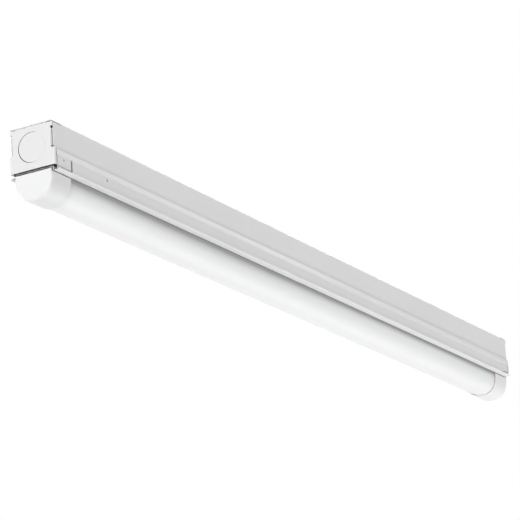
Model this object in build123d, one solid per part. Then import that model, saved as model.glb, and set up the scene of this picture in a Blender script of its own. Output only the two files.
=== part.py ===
from build123d import *
from math import copysign, cos, radians, sin
import os

# LED strip light for a ceiling: a folded steel channel, a clipped-in cover that carries the light,
# a frosted lens and a cap over each lens end.
# Sizes are in millimetres. X runs along the fixture, Y across it and Z up.
# The origin is the middle of the channel's back, which lies against the ceiling at z = 0.
# A depth is measured down from the back.

# Sheet steel
length = 1219.0                   # over the outer faces of the end plates
sheet = 0.8                       # thickness of the channel, end plates and cover
bend_radius = 1.6                 # outside radius of a bend
crease_radius = 0.4               # inside radius of a tight bend

# Channel
channel_width = 57.4
channel_foot_gap = 3.7            # between a side wall's lower edge and the cover's deck
wall_end_gap = 1.1                # between a side wall's end and the end plate
corner_slit_length = 20.0         # slit under the back at each corner
corner_slit_height = 1.2

# Holes in the channel's back
mount_hole_spacing = 1066.8
mount_hole_radius = 3.5
supply_knockout_radius = 11.1
supply_knockout_spacing = 609.6
knockout_slit = 0.7
knockout_tie = 3.0

# End plates
plate_foot_gap = 3.1              # between the plate's lower edge and the cover's flange
plate_return = 4.0                # lower side returns, in line with the cover's walls
plate_return_depth = 32.7         # the returns' upper edges
plate_flange = 14.0               # side flanges inside the channel
plate_flange_gap = 1.2            # between a side flange and the channel's wall
plate_tab = 18.0                  # tab under the channel's back
plate_tab_inset = 5.9             # between the tab and the channel's inside
plate_ear = 4.8                   # height of the ears that cover the wall ends
plate_relief = 2.4                # notches between ears, flanges and returns
plate_relief_inset = 2.6          # how far a notch reaches in from the channel's side
plate_knockout_radius = 18.4
plate_slit = 1.0                  # knockout slit at its widest
plate_tie = 14.0                  # how far the uncut part of the rim reaches across the disc
score_width = 0.6
score_depth = 0.3

# Cover
cover_gap = 0.9                   # between the channel's wall and the cover's wall
cover_top_depth = 34.0            # the walls' upper edges
cover_end_gap = 1.6               # between a plate's return and the cover's end
ridge_below_edge = 6.4            # stiffening ridge along the walls, which the upper strip leans out to
ridge_out = 0.9
ridge_drop = 1.3                  # lower flank of the ridge, back to the wall
ridge_radius = 0.9
flange_overhang = 3.05            # how far the flange stands out from the walls
flange_depth = 58.7               # underside of the flange
hem_gap = 0.7
hem_flat = 0.1                    # flat left on the flange's rounded edge
recess_width = 47.6               # recess that the lens stands in
recess_depth = 5.2

# Snap tabs, notches and dimples in the cover's walls
foot_notch_length = 16.0          # notch at the end without a tab, up to the plate's lower edge
foot_notch_gap = 0.6              # between the flange and the notch
tab_width = 28.0
tab_height = 13.4
tab_slit = 3.0
tab_foot_slit = 1.0
tab_foot_gap = 1.5                # between the flange and a tab's slits
tab_notch = 0.5                   # how far the channel's notches reach past the slits in front of them
dimple_below_edge = 10.6
dimple_radius = 2.0
dimple_hole_radius = 0.9
dimple_gap = 0.2                  # between a dimple and the channel's wall
dimple_clearance = 0.9            # the hole in the channel is this much larger in radius
lock_hole_radius = 1.6
lock_hole_from_end = 104.0

# Lens
lens_gap = 0.4                    # between a lens leg and the side of the recess
lens_top_gap = 0.4                # between a lens leg and the deck
lens_wall = 1.8
lens_straight = 2.4               # straight side below the flange
lens_curve = 27.1                 # depth of the rounded part below that
lens_fullness = 2.4               # exponent of the rounded part; 2 is an ellipse, more is squarer
lens_end_gap = 1.3                # between the lens and the cap's front wall
snap_rib_gap = 0.2                # between a snap rib and the side of the recess
snap_rib_height = 1.2
snap_rib_length = 14.0
snap_rib_count = 6                # along each leg

# Lens caps
cap_gap = 0.4                     # between the lens and the cap
cap_wall = 1.4
cap_length = 39.5
cap_top_gap = 1.4                 # between the cap's sides and the flange
cap_front_rise = 2.9              # how far the front wall stands above the sides
cap_edge_radius = 3.0
grip_rib_gap = 0.2                # between a grip rib and the lens
grip_rib_width = 2.0
grip_rib_length = 25.0
curve_steps = 16                  # points along the rounded part of the lens and caps

# LED boards
board_width = 18.0
board_thickness = 1.6
board_end_margin = 8.0            # from the cover's end
board_spacing = 6.0               # between the two boards
led_count = 24                    # on each board
led_side = 3.0
led_height = 0.75
led_window_radius = 1.15
led_window_depth = 0.3
board_screw_count = 4             # on each board
board_screw_inset = 2.8           # from the board's edge

# Screws
screw_shank_radius = 1.5
screw_head_radius = 2.6
screw_head_height = 1.9
screw_head_edge = 0.9
screw_recess = 1.0                # depth and arm width of the cross recess
hole_clearance = 0.1              # between a shank and its hole
screw_past_sheet = 2.0            # how far a driver or ground screw passes the deck

# Connectors on the LED boards
plastic_chamfer = 0.5
link_length = 18.0
link_width = 5.0
link_height = 3.5
link_inset = 1.0                  # from the board's edge
connector_length = 10.0
connector_width = 6.0
connector_height = 4.5
connector_inset = 0.5             # from the board's edge

# Output leads and their bushing
lead_radius = 0.9
lead_pitch = 2.5
lead_bend = 3.0
bushing_bore = 2.4
bushing_wall = 0.9
bushing_flange = 0.8              # how far its rims stand past the hole
bushing_rim = 0.9                 # thickness of a rim
bushing_x = -14.0
bushing_clearance = 0.6           # between the bushing and the board's edge

# LED driver
driver_to_bushing = 26.0
driver_length = 300.0
driver_width = 38.0
driver_height = 24.0
driver_wall = 1.0
driver_foot = 14.0                # fixing foot beyond each end
lid_lip = 2.0
lid_clearance = 0.2
standoff_radius = 2.5
standoff_height = 3.0
driver_board_margin = 1.0
terminal_width = 20.0
terminal_height = 9.0
terminal_depth = 12.0
terminal_proud = 2.0
terminal_clearance = 0.2
transformer_length = 30.0
transformer_width = 24.0
transformer_height = 13.0
transformer_edge = 2.0
transformer_from_output = 120.0   # from the driver's output end
capacitor_radius = 6.0
capacitor_height = 13.0
capacitor_edge = 1.0
capacitor_spacing = 18.0
capacitor_from_input = 90.0       # from the driver's input end

# Supply leads, connector and ground
supply_lead_radius = 1.4
supply_lead_pitch = 6.5
supply_lead_bend = 10.0
supply_lead_straight = 12.0       # straight run out of a terminal
supply_lead_slope = 14.0          # run over which a lead comes down to the deck
supply_lead_low = 20.0            # run along the deck
supply_lead_lift = 0.3            # between a lead and the deck
supply_connector_length = 25.0
supply_connector_width = 23.0
supply_connector_height = 11.0
socket_radius = 1.6
socket_depth = 9.0
ground_screw_from_connector = 30.0
ring_radius = 4.2
ring_thickness = 0.8
clip_length = 6.0
clip_wall = 1.2
clip_clearance = 0.2

# Places of the sheet steel
end = length / 2
channel_half = channel_width / 2
cover_half = channel_half + cover_gap + sheet
flange_half = cover_half + flange_overhang
recess_half = recess_width / 2
hem_height = 2 * sheet + hem_gap
flange_z = -flange_depth
flange_top_z = flange_z + hem_height
deck_under_z = flange_z + recess_depth
deck_z = deck_under_z + sheet
plate_foot_z = flange_top_z + plate_foot_gap
ear_top_z = -sheet - corner_slit_height
ear_foot_z = ear_top_z - plate_ear
return_top_z = -plate_return_depth
relief_heights = [(ear_foot_z - plate_relief, ear_foot_z), (return_top_z, return_top_z + plate_relief)]
channel_foot_z = deck_z + channel_foot_gap
cover_top_z = -cover_top_depth
cover_end = end - plate_return - cover_end_gap
dimple_x = cover_end - tab_width / 2
dimple_z = cover_top_z - dimple_below_edge
tab_foot_z = flange_top_z + tab_foot_gap
tab_top_z = tab_foot_z + tab_height

# Places of the lens and its caps
lens_half = recess_half - lens_gap
lens_end = end - cap_wall - lens_end_gap
lens_top_z = deck_under_z - lens_top_gap
lens_axis_z = flange_z - lens_straight
lens_bottom_z = lens_axis_z - lens_curve
cap_top_z = flange_z - cap_top_gap

# Places of the LED boards
board_half = board_width / 2
board_under_z = deck_under_z - board_thickness
board_start = board_spacing / 2
board_length = cover_end - board_end_margin - board_start
link_y = -board_half + link_inset + link_width / 2
connector_y = board_half - connector_inset - connector_width / 2
bushing_y = board_half + bushing_clearance + bushing_bore + bushing_wall + bushing_flange

# Places of the driver and the supply side
driver_half = driver_width / 2
driver_right = bushing_x - driver_to_bushing
driver_left = driver_right - driver_length
driver_rim_z = deck_z + driver_height - driver_wall
driver_board_z = deck_z + driver_wall + standoff_height
terminal_foot_z = driver_board_z + board_thickness
terminal_z = terminal_foot_z + terminal_height / 2
supply_lead_start = driver_left - terminal_proud
supply_lead_run = 2 * (supply_lead_straight + supply_lead_slope) + supply_lead_low
supply_face_x = supply_lead_start - supply_lead_run
supply_z = deck_z + supply_connector_height / 2
supply_lead_low_z = deck_z + supply_lead_lift + supply_lead_radius
line_y = supply_lead_pitch
neutral_y = 0.0
ground_y = -supply_lead_pitch
screw_row_y = (board_half + driver_half) / 2
ground_screw_x = supply_face_x + ground_screw_from_connector
driver_screw_places = [(driver_left - driver_foot / 2, screw_row_y),
                       (driver_right + driver_foot / 2, -screw_row_y)]


def block(x, y, z):
    """Box between two values on each axis, in either order."""
    middle = [(a + b) / 2 for a, b in (x, y, z)]
    return Pos(*middle) * Box(*[abs(b - a) for a, b in (x, y, z)])


def upright(radius, x, y, z):
    """Round bar along Z between two heights, in either order."""
    return Pos(x, y, (z[0] + z[1]) / 2) * Cylinder(radius, abs(z[1] - z[0]))


def along_x(face, low, high):
    """Face drawn in Y and Z, extruded along X."""
    return extrude(Plane.YZ.offset(low) * face, high - low)


def sheet_outline(points, radii):
    """Closed outline of a folded sheet that lies on the right of a line of points."""
    front = [Vector(*point) for point in points]
    ways = [(b - a).normalized() for a, b in zip(front, front[1:])]
    rights = [Vector(way.Y, -way.X) for way in ways]
    back = [front[0] + rights[0] * sheet]
    back_radii = []
    for corner in range(1, len(front) - 1):
        before = rights[corner - 1]
        after = rights[corner]
        back.append(front[corner] + (before + after) * (sheet / (1 + before.dot(after))))
        turns_right = ways[corner - 1].cross(ways[corner]).Z < 0
        back_radii.append(radii[corner - 1] + (-sheet if turns_right else sheet))
    back.append(front[-1] + rights[-1] * sheet)
    corner_radii = [0, *radii, 0, 0, *reversed(back_radii), 0]
    return make_face(FilletPolyline(*front, *reversed(back), close=True, radius=corner_radii))


def pan_head(x, y, seat_z, tip_z, up):
    """Screw with a cross recess; its head stands on seat_z, above it if up is 1, below if -1."""
    top_z = seat_z + up * screw_head_height
    head = upright(screw_head_radius, x, y, (seat_z, top_z))
    head = fillet(head.edges().sort_by(Axis.Z)[-1 if up > 0 else 0], screw_head_edge)
    shank = upright(screw_shank_radius, x, y, (seat_z, tip_z))
    arm = 2 * (screw_head_radius - screw_recess)
    recess = Box(arm, screw_recess, 2 * screw_recess) + Box(screw_recess, arm, 2 * screw_recess)
    return head + shank - Pos(x, y, top_z) * recess


def screw_hole(x, y, z):
    """Cutter for a screw's hole, past both faces of the stretch between two heights."""
    return upright(screw_shank_radius + hole_clearance, x, y, (z[0] - sheet, z[1] + sheet))


def lead(points, bends, radius):
    """Round wire along straight runs joined by arcs."""
    path = FilletPolyline(*points, radius=bends)
    return sweep(Plane(path @ 0, z_dir=path % 0) * Circle(radius), path=path)


def board_share(side, count):
    """Middles of equal shares of a board's length; side is -1 for the left board, 1 for the right."""
    return [side * (board_start + board_length * (share + 0.5) / count) for share in range(count)]


board_screw_y = board_half - board_screw_inset
board_screw_places = [(x, board_screw_y) for side in (-1, 1) for x in board_share(side, board_screw_count)]


# Channel
def make_channel():
    points = [(-channel_half, channel_foot_z), (-channel_half, 0), (channel_half, 0),
              (channel_half, channel_foot_z)]
    channel = along_x(sheet_outline(points, [bend_radius, bend_radius]), -end, end)
    ring = Circle(supply_knockout_radius) - Circle(supply_knockout_radius - knockout_slit)
    ring -= Rectangle(4 * supply_knockout_radius, knockout_tie)
    knockout = extrude(ring, 2 * sheet, both=True)
    dimple_hole = Rot(90, 0, 0) * Cylinder(dimple_radius + dimple_clearance, 2 * channel_width)
    across = (-channel_width, channel_width)
    wall_end = end - sheet - wall_end_gap
    notch_top_z = tab_top_z + tab_notch
    for side in (1, -1):
        channel -= block((side * end, side * wall_end), across, (channel_foot_z, -sheet))
        for heights in relief_heights:
            channel -= block((side * end, side * (wall_end - plate_relief / 2)), across, heights)
        channel -= block((side * end, side * (cover_end - tab_notch)), across, (channel_foot_z, notch_top_z))
        slit_end = cover_end - tab_width
        slit_notch = (side * (slit_end + tab_notch), side * (slit_end - tab_slit - tab_notch))
        channel -= block(slit_notch, across, (channel_foot_z, notch_top_z))
        slit = (side * end, side * (end - corner_slit_length))
        channel -= block(slit, across, (-sheet - corner_slit_height, -sheet))
        channel -= upright(mount_hole_radius, side * mount_hole_spacing / 2, 0, (-2 * sheet, sheet))
        channel -= Pos(side * supply_knockout_spacing / 2, 0, 0) * knockout
        channel -= Pos(side * dimple_x, 0, dimple_z) * dimple_hole
    return channel


# End plate
def plate_wrap(half, reach, low, high):
    """Stretch of the plate between two heights, bent back along both sides."""
    outline = sheet_outline(
        [(end - reach, half), (end, half), (end, -half), (end - reach, -half)], [bend_radius, bend_radius])
    return extrude(Pos(0, 0, low) * outline, high - low)


def make_end_plate():
    """Plate at the right end; the left one is the same piece turned half round."""
    neck = channel_half - plate_relief_inset
    inside = channel_half - sheet
    face_x = (end - sheet, end)

    tab_half = inside - plate_tab_inset
    tab = sheet_outline([(end - plate_tab, -sheet), (end, -sheet), (end, ear_foot_z)], [bend_radius])
    plate = Rot(90, 0, 0) * extrude(tab, tab_half, both=True)
    plate += block(face_x, (-neck, neck), (plate_foot_z, -sheet - bend_radius))
    plate += block(face_x, (-channel_half, channel_half), (ear_foot_z, ear_top_z))
    plate += plate_wrap(inside - plate_flange_gap, plate_flange, relief_heights[1][1], relief_heights[0][0])
    plate += plate_wrap(cover_half, plate_return, plate_foot_z, return_top_z)

    disc_z = plate_foot_z / 2
    score = Circle(plate_knockout_radius) - Circle(plate_knockout_radius - score_width)
    shift = plate_slit / 2
    slit = Circle(plate_knockout_radius) - Pos(shift, 0) * Circle(plate_knockout_radius - shift)
    slit -= Pos(plate_knockout_radius, 0) * Rectangle(2 * plate_tie, 4 * plate_knockout_radius)
    plate -= Pos(0, 0, disc_z) * along_x(score, end - score_depth, end + sheet)
    plate -= Pos(0, 0, disc_z) * along_x(slit, end - 2 * sheet, end + sheet)
    return plate


# Cover
def cover_outline():
    ridge_z = cover_top_z - ridge_below_edge
    right = [(cover_half, cover_top_z), (cover_half + ridge_out, ridge_z), (cover_half, ridge_z - ridge_drop),
             (cover_half, flange_top_z), (flange_half, flange_top_z), (flange_half, flange_z),
             (recess_half, flange_z), (recess_half, deck_under_z)]
    hem_radius = (hem_height - hem_flat) / 2
    radii = [ridge_radius, ridge_radius, crease_radius, hem_radius, hem_radius, bend_radius, crease_radius]
    left = [(-y, z) for y, z in reversed(right)]
    return sheet_outline(right + left, radii + radii[::-1])


def end_cuts(along):
    """Cutter for one end of the walls: the slits of a snap tab in one wall, a notch at the other's foot."""
    tab_y = (along * (cover_half - 2 * sheet), along * (cover_half + sheet))
    notch_y = (-tab_y[0], -tab_y[1])
    past_end = along * (cover_end + sheet)
    slit_x = (along * (cover_end - tab_width), along * (cover_end - tab_width - tab_slit))
    cuts = block(slit_x, tab_y, (tab_foot_z, tab_top_z))
    cuts += block((past_end, slit_x[0]), tab_y, (tab_foot_z, tab_foot_z + tab_foot_slit))
    notch_x = (past_end, along * (cover_end - foot_notch_length))
    return cuts + block(notch_x, notch_y, (flange_top_z + foot_notch_gap, plate_foot_z))


def with_dimple(cover, along, side):
    """Cover with a pierced dimple pressed in towards the channel."""
    press = cover_gap - dimple_gap
    ball_radius = (dimple_radius ** 2 + press ** 2) / (2 * press)
    ball = Pos(along * dimple_x, side * (cover_half + ball_radius - press), dimple_z)
    reach = 2 * dimple_radius
    pressed = block((along * dimple_x - reach, along * dimple_x + reach),
                    (side * (cover_half - sheet / 2), side * (cover_half - sheet - press)),
                    (dimple_z - reach, dimple_z + reach))
    cover += pressed & (ball * Sphere(ball_radius + sheet))
    hole = Rot(90, 0, 0) * Cylinder(dimple_hole_radius, 8 * sheet)
    return cover - ball * Sphere(ball_radius) - Pos(along * dimple_x, side * cover_half, dimple_z) * hole


def make_cover():
    cover = along_x(cover_outline(), -cover_end, cover_end)
    lock_hole = Rot(90, 0, 0) * Cylinder(lock_hole_radius, 4 * sheet)
    for along in (1, -1):
        for side in (1, -1):
            cover = with_dimple(cover, along, side)
        cover -= end_cuts(along)
        cover -= Pos(along * (cover_end - lock_hole_from_end), along * cover_half, dimple_z) * lock_hole
    for x, y in board_screw_places + driver_screw_places + [(ground_screw_x, -screw_row_y)]:
        cover -= screw_hole(x, y, (deck_under_z, deck_z))
    return cover - upright(bushing_bore + bushing_wall, bushing_x, bushing_y, (deck_under_z, deck_z))


# Lens and its caps
def trough(half, curve, top_z):
    """Outline with straight sides and a full rounded bottom, closed at the top."""
    power = 2 / lens_fullness
    angles = [radians(180 * step / curve_steps) for step in range(1, curve_steps)]
    bottom = [(-copysign(abs(cos(angle)) ** power, cos(angle)) * half,
               lens_axis_z - sin(angle) ** power * curve) for angle in angles]
    outline = Polyline((half, lens_axis_z), (half, top_z), (-half, top_z), (-half, lens_axis_z))
    outline += Spline((-half, lens_axis_z), *bottom, (half, lens_axis_z), tangents=[(0, -1), (0, 1)])
    return make_face(outline)


def make_lens():
    lens = along_x(trough(lens_half, lens_curve, lens_top_z), -lens_end, lens_end)
    lens -= along_x(trough(lens_half - lens_wall, lens_curve - lens_wall, lens_top_z), -lens_end, lens_end)
    rib_z = (lens_top_z - snap_rib_height, lens_top_z)
    rib_pitch = 2 * cover_end / snap_rib_count
    for side in (1, -1):
        rib_y = (side * (lens_half - lens_wall / 2), side * (recess_half - snap_rib_gap))
        for rib in range(snap_rib_count):
            middle = rib_pitch * (rib + 0.5) - cover_end
            lens += block((middle - snap_rib_length / 2, middle + snap_rib_length / 2), rib_y, rib_z)
    return lens


def make_cap():
    """Cap at the right end, with ribs inside that grip the lens."""
    inner = lens_half + cap_gap
    inner_curve = lens_curve + cap_gap
    outer = inner + cap_wall
    front_z = cap_top_z + cap_front_rise
    sleeve_x = (end - cap_length, end - cap_wall)
    cap = along_x(trough(outer, inner_curve + cap_wall, front_z), end - cap_length, end)
    front_edges = cap.faces().sort_by(Axis.X)[-1].edges()
    cap = fillet(front_edges.sort_by(Axis.Z)[:-1], cap_edge_radius)
    cap -= along_x(trough(inner, inner_curve, front_z), *sleeve_x)
    cap -= block(sleeve_x, (-outer, outer), (cap_top_z, front_z))
    grip_x = (end - cap_wall - grip_rib_length, end - cap_wall)
    for side in (1, -1):
        grip_y = (side * (lens_half + grip_rib_gap), side * (inner + cap_wall / 2))
        cap += block(grip_x, grip_y, (lens_axis_z - grip_rib_width, lens_axis_z))
    floor_z = (lens_bottom_z - cap_gap - cap_wall / 2, lens_bottom_z - grip_rib_gap)
    return cap + block(grip_x, (-grip_rib_width / 2, grip_rib_width / 2), floor_z)


# LED boards and what is on them
def make_led_board(side):
    board = block((side * board_start, side * (board_start + board_length)),
                  (-board_half, board_half), (board_under_z, deck_under_z))
    for x in board_share(side, board_screw_count):
        board -= screw_hole(x, board_screw_y, (board_under_z, deck_under_z))
    return board


def make_leds(side):
    half = led_side / 2
    face_z = board_under_z - led_height
    leds = []
    for x in board_share(side, led_count):
        body = block((x - half, x + half), (-half, half), (face_z, board_under_z))
        leds.append(body - upright(led_window_radius, x, 0, (face_z, face_z + led_window_depth)))
    return leds


def board_housing(x, y, long, wide, high):
    """Connector housing on the underside of a board."""
    body = block((x - long / 2, x + long / 2), (y - wide / 2, y + wide / 2),
                 (board_under_z - high, board_under_z))
    return chamfer(body.faces().sort_by(Axis.Z)[0].edges(), plastic_chamfer)


# Bushing and output leads
def make_bushing():
    hole = bushing_bore + bushing_wall
    rim = hole + bushing_flange
    low = (deck_under_z - bushing_rim, deck_under_z)
    high = (deck_z, deck_z + bushing_rim)
    bushing = upright(hole, bushing_x, bushing_y, (deck_under_z, deck_z))
    bushing += upright(rim, bushing_x, bushing_y, low) + upright(rim, bushing_x, bushing_y, high)
    return bushing - upright(bushing_bore, bushing_x, bushing_y, (low[0], high[1]))


def make_output_lead(side):
    """Lead from the driver's output, through the bushing, to the connector on the LED board."""
    start_y = side * lead_pitch / 2
    x = bushing_x - side * lead_pitch / 2
    plug_y = connector_y + connector_width / 2
    plug_z = board_under_z - connector_height / 2
    points = [(driver_right + terminal_proud, start_y, terminal_z), (x, start_y, terminal_z),
              (x, bushing_y, terminal_z), (x, bushing_y, plug_z), (x, plug_y, plug_z)]
    return lead(points, lead_bend, lead_radius)


# Driver
def make_driver_case():
    case = block((driver_left, driver_right), (-driver_half, driver_half), (deck_z, driver_rim_z))
    case -= block((driver_left + driver_wall, driver_right - driver_wall),
                  (driver_wall - driver_half, driver_half - driver_wall),
                  (deck_z + driver_wall, driver_rim_z))
    case += block((driver_left - driver_foot, driver_right + driver_foot), (-driver_half, driver_half),
                  (deck_z, deck_z + driver_wall))
    for x, y in driver_screw_places:
        case -= screw_hole(x, y, (deck_z, deck_z + driver_wall))
    inset = driver_wall + driver_board_margin + standoff_radius
    for x in (driver_left + inset, driver_right - inset):
        for y in (inset - driver_half, driver_half - inset):
            case += upright(standoff_radius, x, y, (deck_z + driver_wall, driver_board_z))
    window_half = terminal_width / 2 + terminal_clearance
    window_z = (terminal_foot_z, terminal_foot_z + terminal_height + terminal_clearance)
    for x in (driver_left, driver_right):
        case -= block((x - driver_wall, x + driver_wall), (-window_half, window_half), window_z)
    return case


def make_driver_lid():
    lip_z = (driver_rim_z - lid_lip, driver_rim_z)
    out = driver_wall + lid_clearance
    inner = out + driver_wall
    lip = block((driver_left + out, driver_right - out), (out - driver_half, driver_half - out), lip_z)
    lip -= block((driver_left + inner, driver_right - inner),
                 (inner - driver_half, driver_half - inner), lip_z)
    return lip + block((driver_left, driver_right), (-driver_half, driver_half),
                       (driver_rim_z, driver_rim_z + driver_wall))


def make_driver_board():
    inset = driver_wall + driver_board_margin
    return block((driver_left + inset, driver_right - inset), (inset - driver_half, driver_half - inset),
                 (driver_board_z, terminal_foot_z))


def make_terminal(face_x, outward):
    """Terminal block on the driver's board, standing out of the window in the driver's end."""
    front = face_x + outward * terminal_proud
    body = block((front, front - outward * terminal_depth), (-terminal_width / 2, terminal_width / 2),
                 (terminal_foot_z, terminal_foot_z + terminal_height))
    return chamfer(body.edges().filter_by(Axis.Y).group_by(Axis.Z)[-1], plastic_chamfer)


def make_transformer():
    x = driver_right - transformer_from_output
    core = block((x - transformer_length / 2, x + transformer_length / 2),
                 (-transformer_width / 2, transformer_width / 2),
                 (terminal_foot_z, terminal_foot_z + transformer_height))
    return fillet(core.edges().filter_by(Axis.Z), transformer_edge)


def make_capacitors():
    cans = []
    for side in (1, -1):
        can = upright(capacitor_radius, driver_left + capacitor_from_input, side * capacitor_spacing / 2,
                      (terminal_foot_z, terminal_foot_z + capacitor_height))
        cans.append(fillet(can.edges().group_by(Axis.Z)[-1], capacitor_edge))
    return cans


# Supply side
def make_supply_connector():
    far_x = supply_face_x - supply_connector_length
    half = supply_connector_width / 2
    body = block((far_x, supply_face_x), (-half, half), (deck_z, deck_z + supply_connector_height))
    body = chamfer(body.faces().sort_by(Axis.Z)[-1].edges(), plastic_chamfer)
    for y in (line_y, neutral_y, ground_y):
        body -= Pos(far_x, y, supply_z) * Rot(0, 90, 0) * Cylinder(socket_radius, 2 * socket_depth)
    return body


def make_supply_lead(y):
    """Lead from the driver's input terminal, down along the deck, to the supply connector."""
    first_x = supply_lead_start - supply_lead_straight
    last_x = supply_face_x + supply_lead_straight
    points = [(supply_lead_start, y, terminal_z), (first_x, y, terminal_z),
              (first_x - supply_lead_slope, y, supply_lead_low_z),
              (last_x + supply_lead_slope, y, supply_lead_low_z),
              (last_x, y, supply_z), (supply_face_x, y, supply_z)]
    return lead(points, supply_lead_bend, supply_lead_radius)


def make_ground_lead():
    """Lead from the supply connector to a ring terminal under the ground screw."""
    points = [(supply_face_x, ground_y, supply_z), (supply_face_x + supply_lead_straight, ground_y, supply_z),
              (ground_screw_x - ring_radius, -screw_row_y, supply_lead_low_z)]
    ring = upright(ring_radius, ground_screw_x, -screw_row_y, (deck_z, deck_z + ring_thickness))
    ring -= screw_hole(ground_screw_x, -screw_row_y, (deck_z, deck_z + ring_thickness))
    return lead(points, supply_lead_bend, supply_lead_radius) + ring


def make_wire_clip():
    """Saddle on the deck over the line and neutral leads."""
    slot = supply_lead_radius + clip_clearance
    middle = (supply_lead_start + supply_face_x) / 2
    span = (middle - clip_length / 2, middle + clip_length / 2)
    clip = block(span, (neutral_y - slot - clip_wall, line_y + slot + clip_wall),
                 (deck_z, supply_lead_low_z + slot + clip_wall))
    for y in (neutral_y, line_y):
        clip -= Pos(middle, y, supply_lead_low_z) * Rot(0, 90, 0) * Cylinder(slot, 2 * clip_length)
        clip -= block(span, (y - slot, y + slot), (deck_z, supply_lead_low_z))
    return clip


right_plate = make_end_plate()
right_cap = make_cap()
half_turn = Rot(0, 0, 180)
long_tip_z = deck_under_z - screw_past_sheet

nodes = {
    "channel": make_channel(),
    "left_end_plate": half_turn * right_plate,
    "right_end_plate": right_plate,
    "cover": make_cover(),
    "lens": make_lens(),
    "left_cap": half_turn * right_cap,
    "right_cap": right_cap,
    "left_led_board": make_led_board(-1),
    "right_led_board": make_led_board(1),
    "left_leds": make_leds(-1),
    "right_leds": make_leds(1),
    "board_screws": [pan_head(x, y, board_under_z, deck_z, -1) for x, y in board_screw_places],
    "board_link": board_housing(0, link_y, link_length, link_width, link_height),
    "led_connector": board_housing(bushing_x, connector_y,
                                   connector_length, connector_width, connector_height),
    "lead_bushing": make_bushing(),
    "positive_lead": make_output_lead(1),
    "negative_lead": make_output_lead(-1),
    "driver_case": make_driver_case(),
    "driver_lid": make_driver_lid(),
    "driver_board": make_driver_board(),
    "driver_transformer": make_transformer(),
    "driver_capacitors": make_capacitors(),
    "driver_input_terminal": make_terminal(driver_left, -1),
    "driver_output_terminal": make_terminal(driver_right, 1),
    "driver_screws": [pan_head(x, y, deck_z + driver_wall, long_tip_z, 1) for x, y in driver_screw_places],
    "supply_connector": make_supply_connector(),
    "line_lead": make_supply_lead(line_y),
    "neutral_lead": make_supply_lead(neutral_y),
    "ground_lead": make_ground_lead(),
    "ground_screw": pan_head(ground_screw_x, -screw_row_y, deck_z + ring_thickness, long_tip_z, 1),
    "wire_clip": make_wire_clip(),
}

os.makedirs("parts", exist_ok=True)
for name, piece in nodes.items():
    pieces = piece if isinstance(piece, list) else [piece]
    solids = [solid for one in pieces for solid in one.solids()]
    export_step(Compound(children=solids), f"parts/{name}.step")
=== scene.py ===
import math

import bpy
from mathutils import Matrix, Vector


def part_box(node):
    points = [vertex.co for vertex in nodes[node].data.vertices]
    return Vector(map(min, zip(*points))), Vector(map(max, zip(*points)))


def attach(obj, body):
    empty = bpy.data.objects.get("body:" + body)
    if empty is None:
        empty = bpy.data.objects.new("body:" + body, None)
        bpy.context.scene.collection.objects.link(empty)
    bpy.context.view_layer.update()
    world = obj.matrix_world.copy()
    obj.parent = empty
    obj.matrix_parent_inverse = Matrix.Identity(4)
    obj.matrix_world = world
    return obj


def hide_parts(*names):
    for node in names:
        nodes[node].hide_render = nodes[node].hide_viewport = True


# A ceiling strip light: painted steel, a frosted lens and moulded caps, with LED boards and a driver inside.
# Lengths are in metres, in the same frame as the solids.
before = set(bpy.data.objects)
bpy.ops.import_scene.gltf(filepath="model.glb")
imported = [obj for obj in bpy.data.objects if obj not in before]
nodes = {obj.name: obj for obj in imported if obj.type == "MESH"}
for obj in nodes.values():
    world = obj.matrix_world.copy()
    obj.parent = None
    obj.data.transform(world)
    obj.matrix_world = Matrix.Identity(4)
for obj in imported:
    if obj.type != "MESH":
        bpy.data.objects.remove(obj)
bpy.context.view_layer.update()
MM = 0.001
CLOSE = 0.01 * MM                   # two places nearer than this are the same

# Section of the lens and its caps
LENS_HALF = 23.4 * MM
LENS_AXIS = -61.1 * MM              # height at which the straight sides meet the rounded part
LENS_WALL = 1.8 * MM
LENS_EDGE = 0.25 * MM
SECTION_FULLNESS = 2.4              # exponent of the rounded part; 2 is an ellipse, more is squarer
SECTION_STEPS = 32

# Ribs on the lens's legs
SNAP_RIB_COUNT = 6                  # along each leg
SNAP_RIB_LENGTH = 14 * MM
SNAP_RIB_HEIGHT = 1.2 * MM
SNAP_RIB_EDGE = 0.35 * MM

# Caps
CAP_WALL = 1.4 * MM
CAP_FRONT_EDGE = 3.0 * MM
CAP_FRONT_RISE = 2.9 * MM           # how far the front wall stands above the sides
CAP_RIM_EDGE = 0.35 * MM
CAP_TOP_EDGE = 0.25 * MM
CUT_PAST = 10 * MM                  # how far a cutter reaches past what it cuts

# Ribs inside the caps
GRIP_RIB_GAP = 0.2 * MM             # between a rib and the lens
GRIP_RIB_LENGTH = 25 * MM
GRIP_RIB_WIDTH = 2 * MM
GRIP_RIB_DEPTH = 0.7 * MM
GRIP_RIB_TAPER = 0.15 * MM
GRIP_RIB_EDGE = 0.15 * MM
GRIP_RIB_DROP = 1 * MM              # side ribs, below the straight part

# LED packages and the solder at their ends
LED_COUNT = 24                      # on each board
LED_SIDE = 3 * MM
LED_CORNER = 0.25 * MM
LED_EDGE = 0.06 * MM
LED_RIM = 0.28 * MM
LED_WINDOW_DEPTH = 0.3 * MM
LED_WINDOW_TAPER = 0.88
LED_WINDOW_INSET = 0.4 * MM         # everything further in than this and facing down is phosphor
PHOSPHOR_STEP = 0.35 * MM           # the phosphor's dome rises in two steps
PHOSPHOR_RISES = (0.12 * MM, 0.06 * MM)
SOLDER_SIZE = (0.7 * MM, 2.2 * MM, 0.24 * MM)
SOLDER_OUT = 0.3 * MM               # middle of the solder, past the package's end
SOLDER_EDGE = 0.2 * MM

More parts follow.
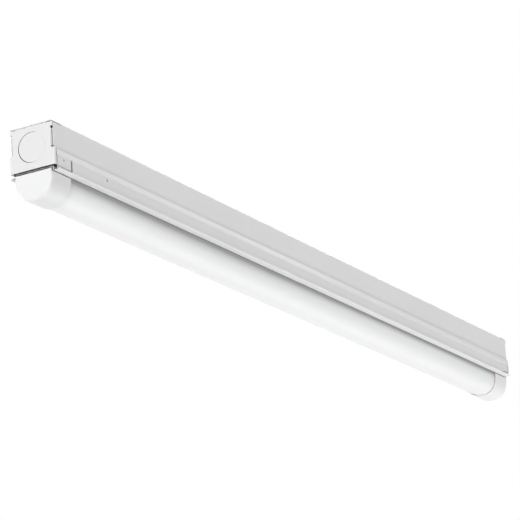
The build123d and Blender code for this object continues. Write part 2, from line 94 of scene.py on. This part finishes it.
# Chip resistors on the boards
CHIP_COUNT = 6                      # on each board, one for every four LEDs
CHIP_SIZE = (3.2 * MM, 1.6 * MM, 0.6 * MM)
CHIP_END = 0.15                     # share of the length that each metal end takes
CHIP_IN_BOARD = 0.05 * MM
CHIP_FROM_EDGE = 2.4 * MM
CHIP_EDGE = 0.05 * MM
CHIP_END_FRAME = 0.04 * MM

# Beads on the driver's lid
BEAD_LENGTH = 0.8                   # share of the lid's length
BEAD_PLACE = 0.22                   # share of the lid's width from its middle
BEAD_WIDTH = 5 * MM
BEAD_ROUND = 0.49                   # share of the width; 0.5 would be full half rounds at the ends
BEAD_PROUD = 0.4 * MM
BEAD_EDGE = 0.35 * MM

# Levers on the supply connector
LEVER_COUNT = 3
LEVER_PITCH = 6.5 * MM
LEVER_LENGTH = 15 * MM
LEVER_WIDTH = 4.4 * MM
LEVER_PROUD = 0.4 * MM
LEVER_CORNER = 1.2 * MM
LEVER_RIM = 0.7 * MM
LEVER_HOLLOW = 0.3 * MM
LEVER_EDGE = 0.1 * MM

# Copper areas under the solder mask
COPPER_LENGTH = 24.74 * MM
COPPER_WIDTH = 6.0 * MM
COPPER_GAP = 0.35 * MM
COPPER_GAP_SHADE = 0.86             # of the first mask colour

# Painted shade at the top of the lens, for the shade under the flange: greys down the depth from the flange's
# underside to near the bottom.
# The depth counts for less at the left end and for more at the right end, where the painted shade is narrower,
# following how the light fell.
SHADE_BAND_DEPTH = (-58.7 * MM, -86 * MM)
SHADE_BAND_GREYS = {0.0: 0.36, 0.13: 0.44, 0.2: 0.61, 0.27: 0.75, 0.41: 0.92, 0.52: 0.96}
SHADE_BAND_SCALE = (0.82, 1.3)
SHADE_BAND_ENDS = (-0.2, 0.25)
SHADE_BAND_CLOUD = 0.02

# Light and floor; each lamp has a place, a target, a size and a power
SKY_STRENGTH = 0.32
LAMPS = {
    "end_lamp": ((-3.6, -0.3, -0.1), (-0.5, 0, -0.05), 1.6, 59),
    "under_lamp": ((1.1, -1.4, -2.85), (0.2, 0, -0.05), 3.0, 77),
    "front_lamp": ((-0.9, -0.9, 2.9), (0, 0, -0.05), 2.0, 40),
    "edge_lamp": ((2.7, -0.3, 1.7), (0, 0, -0.05), 1.0, 16),
    "back_lamp": ((-0.8, 2.9, -0.5), (0, 0, -0.05), 0.9, 30),
}
FLOOR_HEIGHT = -4.2
FLOOR_SIZE = 60
FLOOR_LIFT = 0.5                    # light that the floor adds for rays that show it


# Modelling steps
def to_object_mode():
    if bpy.context.object and bpy.context.object.mode != "OBJECT":
        bpy.ops.object.mode_set(mode="OBJECT")


def open_box(name, middle, size):
    """Adds a box, names it, puts its place and size in its mesh and opens it for editing."""
    to_object_mode()
    bpy.ops.object.select_all(action="DESELECT")
    bpy.ops.mesh.primitive_cube_add(size=1, location=middle, scale=size)
    piece = bpy.context.object
    piece.name = name
    piece.data.name = name
    bpy.ops.object.transform_apply(location=True, rotation=True, scale=True)
    bpy.ops.object.mode_set(mode="EDIT")
    return piece


def pick_only(piece):
    """Leaves edit mode and makes a piece the only one selected."""
    to_object_mode()
    bpy.ops.object.select_all(action="DESELECT")
    piece.select_set(True)
    bpy.context.view_layer.objects.active = piece


def pick(piece, kind, wanted):
    """Selects the edges or faces that pass a test of their middle and their direction or normal."""
    bpy.ops.mesh.select_mode(type=kind)
    bpy.ops.mesh.select_all(action="DESELECT")
    bpy.ops.object.mode_set(mode="OBJECT")
    mesh = piece.data
    if kind == "EDGE":
        for edge in mesh.edges:
            first, last = (mesh.vertices[number] for number in edge.vertices)
            edge.select = wanted((first.co + last.co) / 2, (last.co - first.co).normalized())
    else:
        for face in mesh.polygons:
            face.select = wanted(face.center, face.normal)
    bpy.ops.object.mode_set(mode="EDIT")


def everything():
    bpy.ops.mesh.select_all(action="SELECT")


def bevel(width, steps):
    """Rounds what is selected."""
    bpy.ops.mesh.bevel(offset=width, segments=steps, profile=0.5, affect="EDGES")


def turn_out(piece, towards):
    """Makes the faces agree, and turns them so that the one furthest towards a direction faces it."""
    everything()
    bpy.ops.mesh.normals_make_consistent(inside=False)
    bpy.ops.object.mode_set(mode="OBJECT")
    furthest = max(piece.data.polygons, key=lambda face: face.center.dot(towards))
    faces_in = furthest.normal.dot(towards) < 0
    bpy.ops.object.mode_set(mode="EDIT")
    if faces_in:
        everything()
        bpy.ops.mesh.flip_normals()


def with_modifier(piece, kind, **settings):
    """Adds a modifier, sets it and applies it."""
    to_object_mode()
    bpy.context.view_layer.objects.active = piece
    modifier = piece.modifiers.new(kind.title(), kind)
    for key, value in settings.items():
        setattr(modifier, key, value)
    bpy.ops.object.modifier_apply(modifier=modifier.name)


def close_piece(piece, angle=32):
    """Leaves edit mode and smooths what isn't a real edge."""
    pick_only(piece)
    bpy.ops.object.shade_smooth_by_angle(angle=math.radians(angle))
    return piece


def copied(piece, step, count):
    """Repeats a piece at even steps, each copy with its own mesh, and joins them all."""
    copies = [piece]
    for number in range(1, count):
        pick_only(piece)
        bpy.ops.object.duplicate(linked=False)
        copy = bpy.context.object
        copy.data.transform(Matrix.Translation(step * number))
        copies.append(copy)
    return joined(copies)


def joined(pieces):
    bpy.ops.object.select_all(action="DESELECT")
    for piece in pieces:
        piece.select_set(True)
    bpy.context.view_layer.objects.active = pieces[0]
    bpy.ops.object.join()
    return bpy.context.object


def paint(piece, finishes, choose):
    """Gives a piece its finishes, and each face the one that a function of the face names by number."""
    to_object_mode()
    for finish in finishes:
        piece.data.materials.append(finish)
    for face in piece.data.polygons:
        face.material_index = choose(face)


# Lens and caps
def trough(name, ends, half, low, top):
    """Open trough along X with straight sides and a full rounded bottom.
    It begins as a box two units wide and one deep, whose rounded lower edges are then scaled to size."""
    middle = (ends[0] + ends[1]) / 2
    piece = open_box(name, (middle, 0, LENS_AXIS - 0.5), (abs(ends[1] - ends[0]), 2, 1))
    pick(piece, "FACE", lambda place, normal: normal.z > 0.9 or abs(normal.x) > 0.9)
    bpy.ops.mesh.delete(type="FACE")
    pick(piece, "EDGE", lambda place, way: abs(way.x) > 0.9 and place.z < LENS_AXIS - 0.9)
    bpy.ops.mesh.bevel(offset=1, segments=SECTION_STEPS, profile=2 ** (-2 / SECTION_FULLNESS), affect="EDGES")
    everything()
    bpy.ops.mesh.remove_doubles(threshold=0.0001)
    everything()
    bpy.ops.transform.resize(value=(1, half, LENS_AXIS - low), center_override=(middle, 0, LENS_AXIS))
    pick(piece, "EDGE", lambda place, way: abs(way.x) > 0.9 and place.z > LENS_AXIS - CLOSE)
    bpy.ops.mesh.extrude_edges_move(TRANSFORM_OT_translate={"value": (0, 0, top - LENS_AXIS)})
    return piece


def make_lens():
    low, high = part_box("lens")
    lens = trough("frosted_lens", (low.x, high.x), LENS_HALF, low.z, high.z)
    turn_out(lens, Vector((0, 0, -1)))
    with_modifier(lens, "SOLIDIFY", thickness=LENS_WALL, offset=-1, use_even_offset=True)
    with_modifier(lens, "BEVEL", width=LENS_EDGE, segments=2, limit_method="ANGLE",
                  angle_limit=math.radians(50))
    lens = joined([lens, *(snap_ribs(side, high) for side in (1, -1))])
    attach(close_piece(lens), "lens")
    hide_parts("lens")
    return lens


def snap_ribs(side, lens_high):
    """Ribs on the upper edge of one lens leg that snap into the recess, lead-in edges rounded."""
    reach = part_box("cover")[1].x
    pitch = 2 * reach / SNAP_RIB_COUNT
    inner, outer = LENS_HALF - LENS_WALL / 2, lens_high.y
    rib = open_box("snap_rib",
                   (pitch / 2 - reach, side * (inner + outer) / 2, lens_high.z - SNAP_RIB_HEIGHT / 2),
                   (SNAP_RIB_LENGTH, outer - inner, SNAP_RIB_HEIGHT))
    pick(rib, "EDGE", lambda place, way: place.y * side > outer - CLOSE)
    bevel(SNAP_RIB_EDGE, 3)
    return copied(close_piece(rib), Vector((pitch, 0, 0)), SNAP_RIB_COUNT)


def solid_trough(name, ends, half, low, top):
    """The same outline as a solid, with closed ends and a flat top."""
    piece = trough(name, ends, half, low, top)
    for end in ends:
        pick(piece, "EDGE", lambda place, way: abs(place.x - end) < CLOSE)
        bpy.ops.mesh.edge_face_add()
    pick(piece, "EDGE", lambda place, way: place.z > top - CLOSE)
    bpy.ops.mesh.edge_face_add()
    turn_out(piece, Vector((0, 0, -1)))
    return piece


def cut_out(piece, cutter):
    """Cuts a shape that is open for editing out of a piece, and removes it."""
    bpy.ops.object.mode_set(mode="OBJECT")
    with_modifier(piece, "BOOLEAN", operation="DIFFERENCE", object=cutter)
    bpy.data.objects.remove(cutter)


def make_cap(node, outward):
    """Cap over one end of the lens: a rounded sleeve with a higher front wall, and ribs that grip the lens."""
    low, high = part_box(node)
    rim, front = (low.x, high.x) if outward > 0 else (high.x, low.x)
    cap = solid_trough(node + "_moulding", (rim, front), high.y, low.z, high.z)
    pick(cap, "EDGE", lambda place, way: abs(place.x - front) < CLOSE and place.z < high.z - CLOSE)
    bevel(CAP_FRONT_EDGE, 8)
    bpy.ops.object.mode_set(mode="OBJECT")

    sleeve = (rim - outward * CUT_PAST, front - outward * CAP_WALL)
    sleeve_top = high.z - CAP_FRONT_RISE
    cut_out(cap, solid_trough("inside", sleeve, high.y - CAP_WALL, low.z + CAP_WALL, high.z + CUT_PAST))
    cut_out(cap, open_box("above_sleeve", (sum(sleeve) / 2, 0, sleeve_top + CUT_PAST / 2),
                          (abs(sleeve[1] - sleeve[0]), 4 * high.y, CUT_PAST)))
    bpy.ops.object.mode_set(mode="EDIT")
    pick(cap, "EDGE", lambda place, way: abs(place.x - rim) < CLOSE and abs(way.x) < 0.1)
    bevel(CAP_RIM_EDGE, 2)
    pick(cap, "EDGE", lambda place, way: place.z > high.z - CLOSE)
    bevel(CAP_TOP_EDGE, 2)
    bpy.ops.object.mode_set(mode="OBJECT")

    side_seats = [(Vector((0, side * LENS_HALF, LENS_AXIS - GRIP_RIB_DROP)), Vector((0, side, 0)))
                  for side in (1, -1)]
    floor_seat = (Vector((0, 0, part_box("lens")[0].z)), Vector((0, 0, -1)))
    ribs = [grip_rib(node, front, outward, seat, away) for seat, away in (*side_seats, floor_seat)]
    cap = close_piece(joined([cap, *ribs]))
    with_modifier(cap, "WEIGHTED_NORMAL", keep_sharp=True)
    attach(cap, node)
    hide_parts(node)
    return cap


def grip_rib(node, front, outward, seat, away):
    """Rounded rib inside a cap, just clear of the lens's face at seat and tapered where the lens enters."""
    middle = seat + away * (GRIP_RIB_GAP + GRIP_RIB_DEPTH / 2)
    middle.x = front - outward * (CAP_WALL + GRIP_RIB_LENGTH / 2)
    section = (GRIP_RIB_DEPTH if along else GRIP_RIB_WIDTH for along in (away.y, away.z))
    rib = open_box(node + "_rib", middle, (GRIP_RIB_LENGTH, *section))
    pick(rib, "FACE", lambda place, normal: normal.x * outward < -0.9)
    bpy.ops.transform.translate(value=away * GRIP_RIB_TAPER)
    everything()
    bevel(GRIP_RIB_EDGE, 2)
    return close_piece(rib)


# LED packages on the boards
def make_leds(node, finishes):
    """A board's LED packages: a frame with a sunk, slightly domed window and solder at both ends."""
    low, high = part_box(node)
    pitch = (high.x - low.x - LED_SIDE) / (LED_COUNT - 1)
    middle = Vector((low.x + LED_SIDE / 2, 0, (low.z + high.z) / 2))
    led = open_box(node + "_packages", middle, (LED_SIDE, LED_SIDE, high.z - low.z))
    pick(led, "EDGE", lambda place, way: abs(way.z) > 0.9)
    bevel(LED_CORNER, 2)
    pick(led, "FACE", lambda place, normal: normal.z < -0.9)
    bevel(LED_EDGE, 1)
    pick(led, "FACE", lambda place, normal: normal.z < -0.9)
    bpy.ops.mesh.inset(thickness=LED_RIM)
    bpy.ops.mesh.extrude_region_move(TRANSFORM_OT_translate={"value": (0, 0, LED_WINDOW_DEPTH)})
    bpy.ops.transform.resize(value=(LED_WINDOW_TAPER, LED_WINDOW_TAPER, 1), center_override=middle)
    for rise in PHOSPHOR_RISES:
        bpy.ops.mesh.inset(thickness=PHOSPHOR_STEP)
        bpy.ops.transform.translate(value=(0, 0, -rise))

    window_half = LED_SIDE / 2 - LED_WINDOW_INSET
    window_floor = low.z + LED_WINDOW_DEPTH + CLOSE

    def is_phosphor(face):
        reach = max(abs(face.center.x - middle.x), abs(face.center.y))
        return reach < window_half and face.center.z < window_floor and face.normal.z < -0.3

    paint(led, finishes, lambda face: 1 if is_phosphor(face) else 0)
    led = joined([led, *(solder_fillet(node, middle.x, side, high.z, finishes) for side in (1, -1))])
    led = copied(led, Vector((pitch, 0, 0)), LED_COUNT)
    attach(close_piece(led, 30), "cover")
    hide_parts(node)


def solder_fillet(node, led_x, side, board_face, finishes):
    """Solder at one end of an LED package, its outer lower edge rounded."""
    middle = Vector((led_x + side * (LED_SIDE / 2 + SOLDER_OUT), 0, board_face - SOLDER_SIZE[2] / 2))
    pad = open_box(node + "_pad", middle, SOLDER_SIZE)
    pick(pad, "EDGE", lambda place, way: abs(way.y) > 0.9 and side * (place.x - middle.x) > 0
         and place.z < middle.z)
    bevel(SOLDER_EDGE, 3)
    paint(pad, finishes, lambda face: 2)
    return pad


# Small parts on the boards, driver and supply connector
def make_chips(node, finishes):
    """Chip resistors along the board's edge, with metal ends."""
    low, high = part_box(node)
    length, width, height = CHIP_SIZE
    pitch = (high.x - low.x) / CHIP_COUNT
    body_half = length * (0.5 - CHIP_END)
    middle = Vector((low.x + pitch / 2, low.y + CHIP_FROM_EDGE, low.z - height / 2 + CHIP_IN_BOARD))
    chip = open_box(node + "_chips", middle, (2 * body_half, width, height))
    pick(chip, "FACE", lambda place, normal: abs(normal.x) > 0.9)
    bpy.ops.mesh.extrude_region_shrink_fatten(TRANSFORM_OT_shrink_fatten={"value": length * CHIP_END})
    pick(chip, "FACE", lambda place, normal: abs(place.x - middle.x) > body_half + CLOSE)
    bpy.ops.mesh.inset(thickness=CHIP_END_FRAME, use_outset=False)
    everything()
    bevel(CHIP_EDGE, 1)
    paint(chip, finishes, lambda face: 1 if abs(face.center.x - middle.x) > body_half + CLOSE else 0)
    chip = copied(chip, Vector((pitch, 0, 0)), CHIP_COUNT)
    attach(close_piece(chip), "cover")


def make_lid_beads(finish):
    """Pressed stiffening beads along the driver's lid."""
    low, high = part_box("driver_lid")
    side_y = BEAD_PLACE * (high.y - low.y)
    bead = open_box("driver_lid_beads", ((low.x + high.x) / 2, -side_y, high.z),
                    (BEAD_LENGTH * (high.x - low.x), BEAD_WIDTH, 2 * BEAD_PROUD))
    pick(bead, "EDGE", lambda place, way: abs(way.z) > 0.9)
    bevel(BEAD_WIDTH * BEAD_ROUND, 8)
    pick(bead, "FACE", lambda place, normal: normal.z > 0.9)
    bevel(BEAD_EDGE, 3)
    paint(bead, [finish], lambda face: 0)
    bead = copied(bead, Vector((0, 2 * side_y, 0)), 2)
    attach(close_piece(bead), "cover")


def make_levers(finish):
    """Release levers on the supply connector, each with a finger hollow."""
    low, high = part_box("supply_connector")
    lever = open_box("supply_levers", ((low.x + high.x) / 2, -LEVER_PITCH, high.z),
                     (LEVER_LENGTH, LEVER_WIDTH, 2 * LEVER_PROUD))
    pick(lever, "EDGE", lambda place, way: abs(way.z) > 0.9)
    bevel(LEVER_CORNER, 5)
    pick(lever, "FACE", lambda place, normal: normal.z > 0.9)
    bpy.ops.mesh.inset(thickness=LEVER_RIM)
    bpy.ops.transform.translate(value=(0, 0, -LEVER_HOLLOW))
    pick(lever, "EDGE", lambda place, way: place.z > high.z + LEVER_PROUD - CLOSE)
    bevel(LEVER_EDGE, 2)
    paint(lever, [finish], lambda face: 0)
    lever = copied(lever, Vector((0, LEVER_PITCH, 0)), LEVER_COUNT)
    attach(close_piece(lever), "cover")


# Camera, at the photograph's angle and framing
def place_camera():
    azimuth, elevation, roll = (math.radians(turn) for turn in (-61.39, -17.43, -4.02))
    aside, above, distance = -0.04202, -0.01377, 3.58473
    focal_share = 2709.18 / 520
    back = Vector((math.sin(azimuth) * math.cos(elevation),
                   -math.cos(azimuth) * math.cos(elevation), math.sin(elevation)))
    level = Vector((0, 0, 1)).cross(back).normalized()
    upright = back.cross(level)
    right = level * math.cos(roll) + upright * math.sin(roll)
    up = upright * math.cos(roll) - level * math.sin(roll)
    data = bpy.data.cameras.new("camera")
    data.sensor_width = 36
    data.sensor_height = 36
    data.lens = focal_share * data.sensor_width
    data.clip_end = 100
    camera = bpy.data.objects.new("camera", data)
    bpy.context.scene.collection.objects.link(camera)
    place = right * aside + up * above + back * distance
    camera.matrix_world = Matrix.Translation(place) @ Matrix((right, up, back)).transposed().to_4x4()
    bpy.context.scene.camera = camera


# Light and floor
def add_lamp(name, place, target, size, power):
    data = bpy.data.lights.new(name, "AREA")
    data.shape = "SQUARE"
    data.size = size
    data.energy = power
    lamp = bpy.data.objects.new(name, data)
    bpy.context.scene.collection.objects.link(lamp)
    lamp.location = place
    lamp.rotation_euler = (Vector(target) - Vector(place)).to_track_quat("-Z", "Y").to_euler()


def worked_out(tree, operation, *values):
    """Result of a math node that takes other nodes' outputs."""
    node = tree.nodes.new("ShaderNodeMath")
    node.operation = operation
    for number, value in enumerate(values):
        tree.links.new(value, node.inputs[number])
    return node.outputs[0]


def seen_rays(tree):
    """1 for rays that show the background: straight from the camera, in a reflection or through glass."""
    path = tree.nodes.new("ShaderNodeLightPath")
    seen = path.outputs["Is Camera Ray"]
    for ray in ("Is Glossy Ray", "Is Transmission Ray"):
        seen = worked_out(tree, "MAXIMUM", seen, path.outputs[ray])
    return seen


def add_world(strength):
    """Even light all round, which the camera and reflections see as plain white."""
    world = bpy.data.worlds.new("studio")
    bpy.context.scene.world = world
    world.use_nodes = True
    tree = world.node_tree
    tree.nodes.clear()
    choose = tree.nodes.new("ShaderNodeMixShader")
    tree.links.new(seen_rays(tree), choose.inputs[0])
    for number, level in ((1, strength), (2, 1.0)):
        sky = tree.nodes.new("ShaderNodeBackground")
        sky.inputs["Color"].default_value = (1, 1, 1, 1)
        sky.inputs["Strength"].default_value = level
        tree.links.new(sky.outputs[0], choose.inputs[number])
    out = tree.nodes.new("ShaderNodeOutputWorld")
    tree.links.new(choose.outputs[0], out.inputs[0])


def add_floor(finish):
    bpy.ops.object.select_all(action="DESELECT")
    bpy.ops.mesh.primitive_plane_add(size=FLOOR_SIZE, location=(0, 0, FLOOR_HEIGHT))
    floor = bpy.context.object
    floor.name = "floor"
    floor.data.materials.append(finish)


# Finishes
class Finish:
    """A material whose patterns are read in the piece's own coordinates."""

    def __init__(self, name, roughness=0.5, metallic=0.0, **sockets):
        self.material = bpy.data.materials.new(name)
        self.material.use_nodes = True
        self.tree = self.material.node_tree
        self.shader = self.tree.nodes["Principled BSDF"]
        self.shader.inputs["Roughness"].default_value = roughness
        self.shader.inputs["Metallic"].default_value = metallic
        for socket, value in sockets.items():
            self.shader.inputs[socket.replace("_", " ")].default_value = value
        self.place = self.tree.nodes.new("ShaderNodeTexCoord").outputs["Object"]

    def grain(self, scale, detail=2.0, stretch=(1, 1, 1)):
        """Noise, in repeats to the metre."""
        mapping = self.tree.nodes.new("ShaderNodeMapping")
        mapping.inputs["Scale"].default_value = stretch
        self.tree.links.new(self.place, mapping.inputs["Vector"])
        noise = self.tree.nodes.new("ShaderNodeTexNoise")
        noise.inputs["Scale"].default_value = scale
        noise.inputs["Detail"].default_value = detail
        self.tree.links.new(mapping.outputs[0], noise.inputs["Vector"])
        return noise.outputs["Fac"]

    def cells(self, scale):
        """Specks, in repeats to the metre."""
        specks = self.tree.nodes.new("ShaderNodeTexVoronoi")
        specks.inputs["Scale"].default_value = scale
        self.tree.links.new(self.place, specks.inputs["Vector"])
        return specks.outputs["Distance"]

    def spread(self, pattern, low, high, start=0.3, stop=0.7):
        """Values from low to high as a pattern goes from start to stop."""
        ranged = self.tree.nodes.new("ShaderNodeMapRange")
        ranged.inputs["From Min"].default_value = start
        ranged.inputs["From Max"].default_value = stop
        ranged.inputs["To Min"].default_value = low
        ranged.inputs["To Max"].default_value = high
        self.tree.links.new(pattern, ranged.inputs["Value"])
        return ranged.outputs["Result"]

    def colour(self, pattern, first, second, start=0.35, stop=0.65):
        """Colour from first to second as a pattern goes from start to stop."""
        self.shades(pattern, {start: first, stop: second})

    def shades(self, pattern, stops):
        """Colour from a row of shades, each at its place from 0 to 1."""
        ramp = self.tree.nodes.new("ShaderNodeValToRGB")
        elements = ramp.color_ramp.elements
        while len(elements) < len(stops):
            elements.new(0.5)
        for element, (position, shade) in zip(elements, stops.items()):
            element.position = position
            element.color = (*shade, 1)
        self.tree.links.new(pattern, ramp.inputs["Fac"])
        self.tree.links.new(ramp.outputs["Color"], self.shader.inputs["Base Color"])

    def rough(self, pattern, low, high):
        self.tree.links.new(self.spread(pattern, low, high), self.shader.inputs["Roughness"])

    def relief(self, pattern, depth):
        bump = self.tree.nodes.new("ShaderNodeBump")
        bump.inputs["Distance"].default_value = depth
        bump.inputs["Strength"].default_value = 1.0
        self.tree.links.new(pattern, bump.inputs["Height"])
        self.tree.links.new(bump.outputs["Normal"], self.shader.inputs["Normal"])


def powder_coat(name, first, second):
    finish = Finish(name, Coat_Weight=0.15, Coat_Roughness=0.2)
    finish.colour(finish.grain(7, 3), first, second)
    finish.rough(finish.grain(40, 3), 0.29, 0.36)
    finish.relief(finish.grain(620, 2), 0.02 * MM)
    return finish.material


def frosted_acrylic():
    """Milky, with painted shade: greyer up where its legs stand in the cover's recess, under the flange."""
    finish = Finish("frosted_acrylic", Subsurface_Weight=0.15, Subsurface_Scale=0.003, IOR=1.49)
    split = finish.tree.nodes.new("ShaderNodeSeparateXYZ")
    finish.tree.links.new(finish.place, split.inputs[0])
    depth = finish.spread(split.outputs["Z"], 0, 1, *SHADE_BAND_DEPTH)
    scale = finish.spread(split.outputs["X"], *SHADE_BAND_SCALE, *SHADE_BAND_ENDS)
    cloud = finish.spread(finish.grain(5, 2, (0.2, 1, 1)), -SHADE_BAND_CLOUD, SHADE_BAND_CLOUD)
    # painted shade: how far down the lens the grey reaches, less far towards the right end
    shade_band = worked_out(finish.tree, "MULTIPLY_ADD", depth, scale, cloud)
    # painted shade greys, from dark under the flange to near white lower down
    finish.shades(shade_band, {place: (grey, grey, grey) for place, grey in SHADE_BAND_GREYS.items()})
    finish.rough(finish.grain(60, 2, (0.04, 1, 1)), 0.55, 0.62)
    finish.relief(finish.grain(420, 2, (0.02, 1, 1)), 0.01 * MM)
    return finish.material


def moulded_plastic(name, first, second, roughness=(0.36, 0.44)):
    finish = Finish(name, Subsurface_Weight=0.05, Subsurface_Scale=0.002)
    finish.colour(finish.grain(22, 3), first, second)
    finish.rough(finish.grain(90, 2), *roughness)
    finish.relief(finish.grain(1500, 3), 0.008 * MM)
    return finish.material


def plated_steel():
    finish = Finish("zinc_plate", metallic=1.0)
    finish.colour(finish.grain(700, 4), (0.60, 0.61, 0.64), (0.78, 0.79, 0.80))
    finish.rough(finish.grain(900, 2), 0.24, 0.40)
    finish.relief(finish.grain(2500, 3), 0.006 * MM)
    return finish.material


def solder():
    finish = Finish("solder", metallic=1.0)
    finish.colour(finish.grain(1800, 3), (0.66, 0.67, 0.68), (0.80, 0.80, 0.81))
    finish.rough(finish.grain(2200, 2), 0.25, 0.42)
    return finish.material


def phosphor():
    finish = Finish("phosphor", roughness=0.35, Subsurface_Weight=0.1, Subsurface_Scale=0.0005)
    finish.colour(finish.cells(9000), (0.90, 0.66, 0.13), (0.95, 0.79, 0.27), 0.1, 0.7)
    return finish.material


def solder_mask(name, first, second):
    """Mask over wide copper areas, which show faintly through it."""
    finish = Finish(name, Coat_Weight=0.15, Coat_Roughness=0.15)
    areas = finish.tree.nodes.new("ShaderNodeTexBrick")
    areas.inputs["Scale"].default_value = 1.0
    areas.inputs["Brick Width"].default_value = COPPER_LENGTH
    areas.inputs["Row Height"].default_value = COPPER_WIDTH
    areas.inputs["Mortar Size"].default_value = COPPER_GAP
    areas.inputs["Color1"].default_value = (*first, 1)
    areas.inputs["Color2"].default_value = (*second, 1)
    areas.inputs["Mortar"].default_value = (*[COPPER_GAP_SHADE * shade for shade in first], 1)
    finish.tree.links.new(finish.place, areas.inputs["Vector"])
    finish.tree.links.new(areas.outputs["Color"], finish.shader.inputs["Base Color"])
    finish.rough(finish.grain(300, 2), 0.32, 0.45)
    finish.relief(finish.spread(areas.outputs["Fac"], 1, 0, 0, 1), 0.03 * MM)
    return finish.material


def insulation(name, first, second):
    """Wire insulation with the faint lines of its extrusion."""
    finish = Finish(name, IOR=1.53)
    finish.colour(finish.grain(500, 2), first, second)
    finish.rough(finish.grain(800, 2), 0.30, 0.42)
    finish.relief(finish.grain(1600, 2, (0.1, 1, 1)), 0.01 * MM)
    return finish.material


def wound_tape():
    finish = Finish("transformer_tape", roughness=0.3)
    finish.colour(finish.grain(600, 2, (0.1, 0.1, 1)), (0.80, 0.58, 0.08), (0.88, 0.70, 0.16))
    finish.relief(finish.grain(900, 2, (0.1, 0.1, 1)), 0.02 * MM)
    return finish.material


def floor_paint():
    """Pale floor, lightened for the camera so that it reads as a studio sweep but keeps the object's shadow."""
    finish = Finish("pale_floor", roughness=0.8, Emission_Color=(1, 1, 1, 1))
    finish.colour(finish.grain(1.5, 3), (0.86, 0.86, 0.86), (0.88, 0.88, 0.88))
    lift = finish.spread(seen_rays(finish.tree), 0, FLOOR_LIFT, 0, 1)
    finish.tree.links.new(lift, finish.shader.inputs["Emission Strength"])
    return finish.material


white_paint = powder_coat("white_powder_coat", (0.82, 0.82, 0.82), (0.84, 0.84, 0.84))
grey_paint = powder_coat("driver_paint", (0.70, 0.71, 0.72), (0.75, 0.76, 0.77))
white_moulding = moulded_plastic("white_moulding", (0.88, 0.88, 0.88), (0.90, 0.90, 0.90))
nylon = moulded_plastic("natural_nylon", (0.80, 0.78, 0.70), (0.86, 0.84, 0.77))
grey_nylon = moulded_plastic("grey_nylon", (0.24, 0.26, 0.28), (0.30, 0.32, 0.34))
black_nylon = moulded_plastic("black_nylon", (0.025, 0.025, 0.028), (0.05, 0.05, 0.055))
orange_nylon = moulded_plastic("orange_nylon", (0.78, 0.30, 0.04), (0.86, 0.38, 0.07))
sleeve = moulded_plastic("capacitor_sleeve", (0.03, 0.035, 0.07), (0.05, 0.06, 0.11), (0.22, 0.3))
led_frame = moulded_plastic("led_frame", (0.86, 0.86, 0.84), (0.90, 0.90, 0.88))
zinc = plated_steel()
tin = solder()
white_mask = solder_mask("white_solder_mask", (0.84, 0.85, 0.845), (0.86, 0.87, 0.865))

node_finishes = {
    "channel": white_paint, "left_end_plate": white_paint, "right_end_plate": white_paint, "cover": white_paint,
    "left_led_board": white_mask, "right_led_board": white_mask,
    "board_screws": zinc, "driver_screws": zinc, "ground_screw": zinc,
    "board_link": nylon, "led_connector": nylon, "wire_clip": nylon,
    "driver_input_terminal": grey_nylon, "driver_output_terminal": grey_nylon, "lead_bushing": black_nylon,
    "positive_lead": insulation("red_insulation", (0.50, 0.03, 0.025), (0.60, 0.05, 0.04)),
    "negative_lead": insulation("blue_insulation", (0.03, 0.10, 0.42), (0.05, 0.14, 0.50)),
    "line_lead": insulation("black_insulation", (0.018, 0.018, 0.018), (0.035, 0.035, 0.035)),
    "neutral_lead": insulation("white_insulation", (0.80, 0.80, 0.78), (0.86, 0.86, 0.84)),
    "ground_lead": insulation("green_insulation", (0.03, 0.26, 0.06), (0.05, 0.34, 0.09)),
    "driver_case": grey_paint, "driver_lid": grey_paint,
    "driver_board": solder_mask("green_solder_mask", (0.04, 0.22, 0.09), (0.05, 0.26, 0.11)),
    "driver_transformer": wound_tape(), "driver_capacitors": sleeve, "supply_connector": orange_nylon,
}
for node, finish in node_finishes.items():
    nodes[node].data.materials.clear()
    nodes[node].data.materials.append(finish)

make_lens().data.materials.append(frosted_acrylic())
for cap_node, outward in (("left_cap", -1), ("right_cap", 1)):
    make_cap(cap_node, outward).data.materials.append(white_moulding)
led_finishes = [led_frame, phosphor(), tin]
for led_node in ("left_leds", "right_leds"):
    make_leds(led_node, led_finishes)
for board_node in ("left_led_board", "right_led_board"):
    make_chips(board_node, [black_nylon, tin])
make_lid_beads(grey_paint)
make_levers(grey_nylon)

place_camera()
add_world(SKY_STRENGTH)
add_floor(floor_paint())
for lamp_name, setting in LAMPS.items():
    add_lamp(lamp_name, *setting)
bpy.context.scene.view_settings.view_transform = "Standard"
